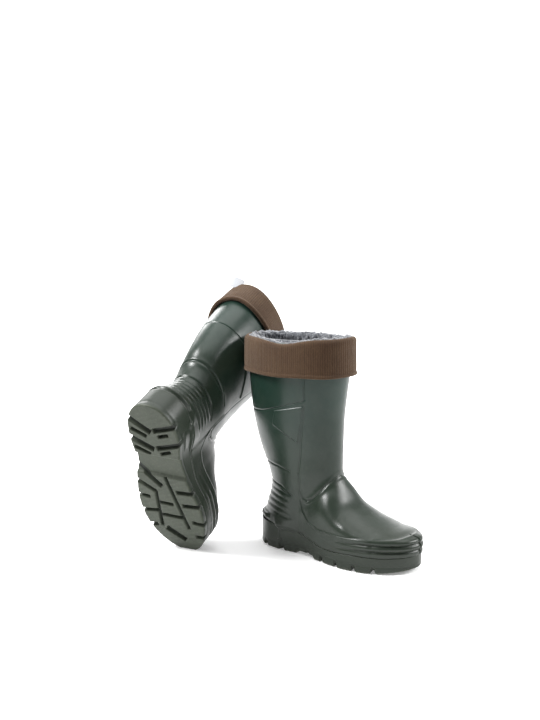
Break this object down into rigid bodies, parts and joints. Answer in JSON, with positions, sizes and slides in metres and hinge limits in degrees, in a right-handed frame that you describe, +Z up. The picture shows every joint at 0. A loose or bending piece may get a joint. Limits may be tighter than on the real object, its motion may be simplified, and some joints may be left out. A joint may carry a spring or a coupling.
{
  "type": "insulated hunting boots",
  "caption": "Moulded hunting boots on lugged soles, the right standing and the left leaning on its toe, with lift-out felt liners and turned-down knit collars.",
  "frame": {"origin": "the rearmost point of the standing right boot's tread, on the floor", "axes": "+X towards the standing boot's toe, +Y towards its inner side, +Z up"},
  "size_m": [0.5108, 0.4201, 0.4784],
  "materials": {
    "shell_foam": "satin moulded foam, dark green",
    "outsole_rubber": "matt, olive green",
    "footbed_foam": "matt closed-cell foam",
    "felt": "pressed felt, grey",
    "pile": "deep pile, blue-grey",
    "rib_knit": "ribbed knit, brown",
    "woven_tag": "woven, white, blank"
  },
  "bodies": {
    "right_boot": {"right_shell": "shell_foam", "right_outsole": "outsole_rubber", "right_insole": "footbed_foam"},
    "right_liner": {"right_liner_leg": "felt", "right_liner_foot": "felt", "right_liner_sole": "felt", "right_pile_leg": "pile", "right_pile_foot": "pile", "right_cuff": "rib_knit", "right_cuff_hem": "rib_knit"},
    "left_boot": {"left_shell": "shell_foam", "left_outsole": "outsole_rubber", "left_insole": "footbed_foam"},
    "left_liner": {"left_liner_leg": "felt", "left_liner_foot": "felt", "left_liner_sole": "felt", "left_pile_leg": "pile", "left_pile_foot": "pile", "left_cuff": "rib_knit", "left_cuff_hem": "rib_knit", "left_tag": "woven_tag"}
  },
  "joints": [
    {"name": "right_liner_lift", "type": "slide", "parent": "right_boot", "child": "right_liner", "axis": [0, 0, 1], "range_m": [0, 0.38], "deforming": ["right_liner_foot", "right_liner_sole", "right_pile_foot"]},
    {"name": "left_boot_tip", "type": "hinge", "parent": "right_boot", "child": "left_boot", "pos_m": [-0.0855, -0.1284, 0.03], "axis": [-0.4708, 0.423, 0.7742], "range_deg": [-120.69, 0]},
    {"name": "left_liner_lift", "type": "slide", "parent": "left_boot", "child": "left_liner", "axis": [-0.1868, 0.8995, 0.3949], "range_m": [0, 0.38], "deforming": ["left_liner_foot", "left_liner_sole", "left_pile_foot"]}
  ]
}
